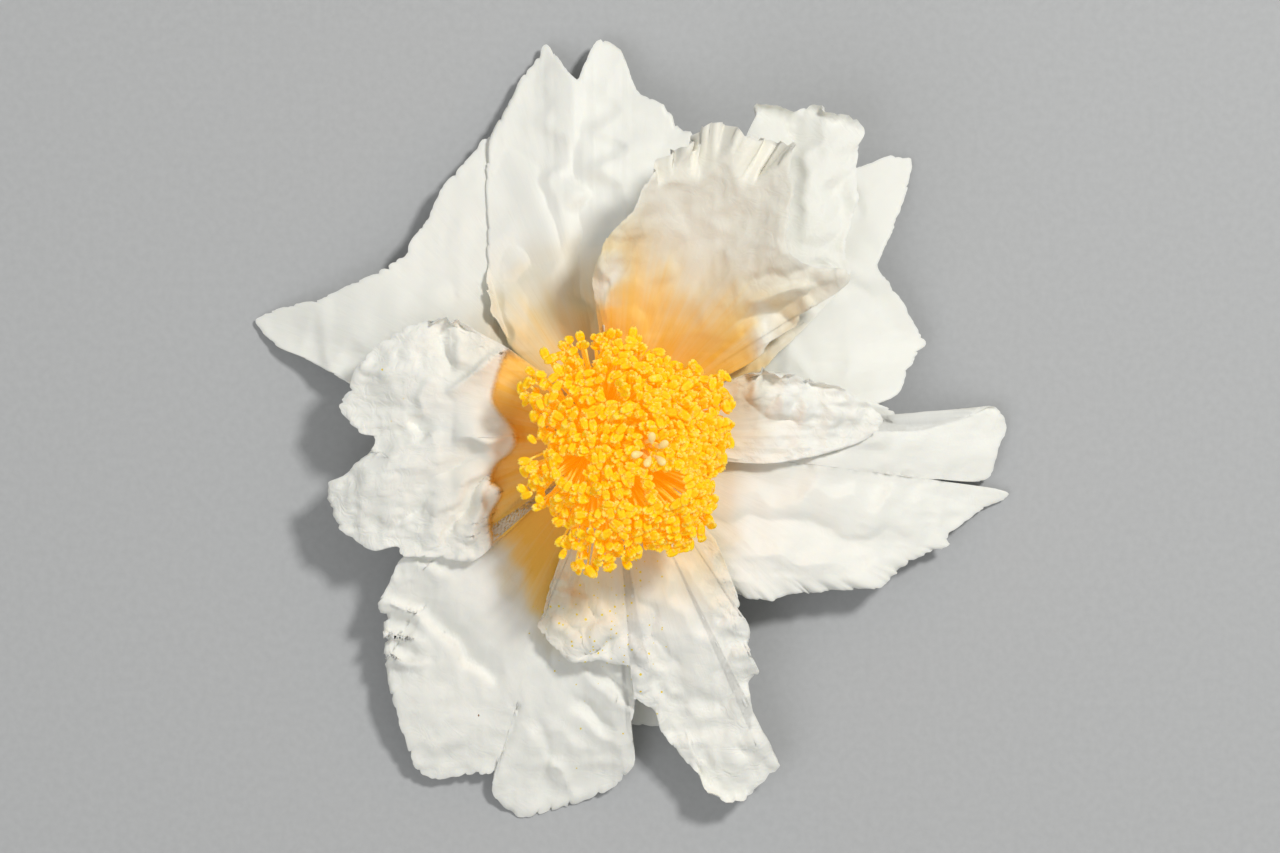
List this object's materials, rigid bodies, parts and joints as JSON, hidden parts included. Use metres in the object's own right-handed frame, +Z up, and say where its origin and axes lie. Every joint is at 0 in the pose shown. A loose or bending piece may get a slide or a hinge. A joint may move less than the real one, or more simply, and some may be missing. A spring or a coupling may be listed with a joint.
{
  "type": "camellia flower",
  "caption": "Single white camellia blossom with broad ruffled notched petals round a dense brush of golden stamens, picked and lying face up.",
  "frame": {"origin": "on the resting surface, at the bottom centre of the whole flower's box", "axes": "+Z up, the way the flower faces; +X and +Y across the bloom, with the two-tipped top petal towards +Y and the long notched right petal towards +X"},
  "size_m": [0.1165, 0.1221, 0.035],
  "materials": {
    "petal": "soft white petal, matte with a faint silky sheen, cream to peach near the centre",
    "stamen": "golden yellow anthers with pollen on orange filaments, matte",
    "pistil": "pale cream styles and stigmas, slightly moist",
    "sepal": "leathery olive brown with a silky bloom and a paler dry edge",
    "bract": "dry papery brown",
    "stalk": "green brown stalk with a pale cut end"
  },
  "bodies": {
    "root": {"receptacle_and_stalk": "stalk", "sepal_1": "sepal", "sepal_2": "sepal", "sepal_3": "sepal", "sepal_4": "sepal", "sepal_5": "sepal", "bract_1": "bract", "bract_2": "bract", "bract_3": "bract", "bract_4": "bract", "bract_5": "bract", "petal_bottom_back": "petal", "petal_upper_left": "petal", "petal_upper_right_back": "petal", "petal_lower_left": "petal", "petal_right": "petal", "petal_top": "petal", "petal_upper_right": "petal", "petal_left": "petal", "petal_bottom": "petal", "petal_inner_right": "petal", "petal_inner_upper": "petal", "stamen_bundle_01": "stamen", "stamen_bundle_02": "stamen", "stamen_bundle_03": "stamen", "stamen_bundle_04": "stamen", "stamen_bundle_05": "stamen", "stamen_bundle_06": "stamen", "stamen_bundle_07": "stamen", "stamen_bundle_08": "stamen", "stamen_bundle_09": "stamen", "stamen_bundle_10": "stamen", "stamen_bundle_11": "stamen", "stamen_bundle_12": "stamen", "stamen_bundle_13": "stamen", "stamen_bundle_14": "stamen", "stamen_bundle_15": "stamen", "stamen_bundle_16": "stamen", "stamen_bundle_17": "stamen", "stamen_bundle_18": "stamen", "stamen_bundle_19": "stamen", "stamen_bundle_20": "stamen", "stamen_bundle_21": "stamen", "stamen_bundle_22": "stamen", "stamen_bundle_23": "stamen", "stamen_bundle_24": "stamen", "pistil": "pistil"}
  },
  "joints": []
}
